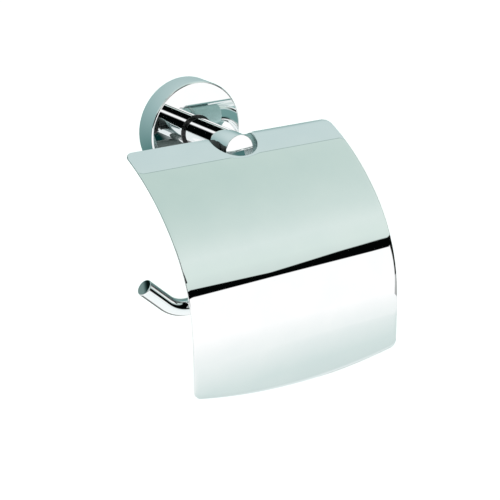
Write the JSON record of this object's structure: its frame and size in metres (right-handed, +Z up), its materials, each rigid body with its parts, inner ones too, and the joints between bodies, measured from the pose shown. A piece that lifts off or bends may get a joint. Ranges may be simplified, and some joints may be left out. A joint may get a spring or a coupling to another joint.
{
  "type": "toilet paper holder",
  "caption": "Wall-mounted chrome toilet paper holder: round rose and post, bent roll rod open at one end, and a curved hinged lid that lifts over the roll.",
  "frame": {"origin": "centre of the rose on the wall plane", "axes": "+Z up, -Y out of the wall, +X to the right for someone facing the wall"},
  "size_m": [0.136, 0.1213, 0.1498],
  "materials": {
    "polished_chrome": "mirror polished",
    "zinc": "matt die-cast zinc",
    "steel": "blue zinc-plated steel",
    "nylon": "matt pale blue-green nylon",
    "black_nylon": "matt black nylon",
    "rubber": "smooth black rubber",
    "silicone": "matt dark grey silicone"
  },
  "bodies": {
    "base": {"wall_plate": "zinc", "rose_cover": "polished_chrome", "rose_set_screw": "steel", "post_collar": "rubber", "post": "polished_chrome", "post_dowel": "steel", "post_screw": "steel", "post_flat_washer": "steel", "post_spring_washer": "steel", "roll_rod": "polished_chrome", "rod_set_screw": "steel"},
    "lid": {"lid_panel": "polished_chrome", "lid_studs": "steel", "bracket_nuts": "steel", "hinge_bracket_left": "steel", "hinge_bracket_right": "steel", "hinge_bush_left": "black_nylon", "hinge_bush_right": "nylon", "stop_pin": "steel", "stop_sleeve": "silicone"}
  },
  "joints": [
    {"name": "lid_hinge", "type": "hinge", "parent": "base", "child": "lid", "pos_m": [0, -0.0495, -0.0015], "axis": [-1, 0, 0], "range_deg": [0, 90]}
  ]
}
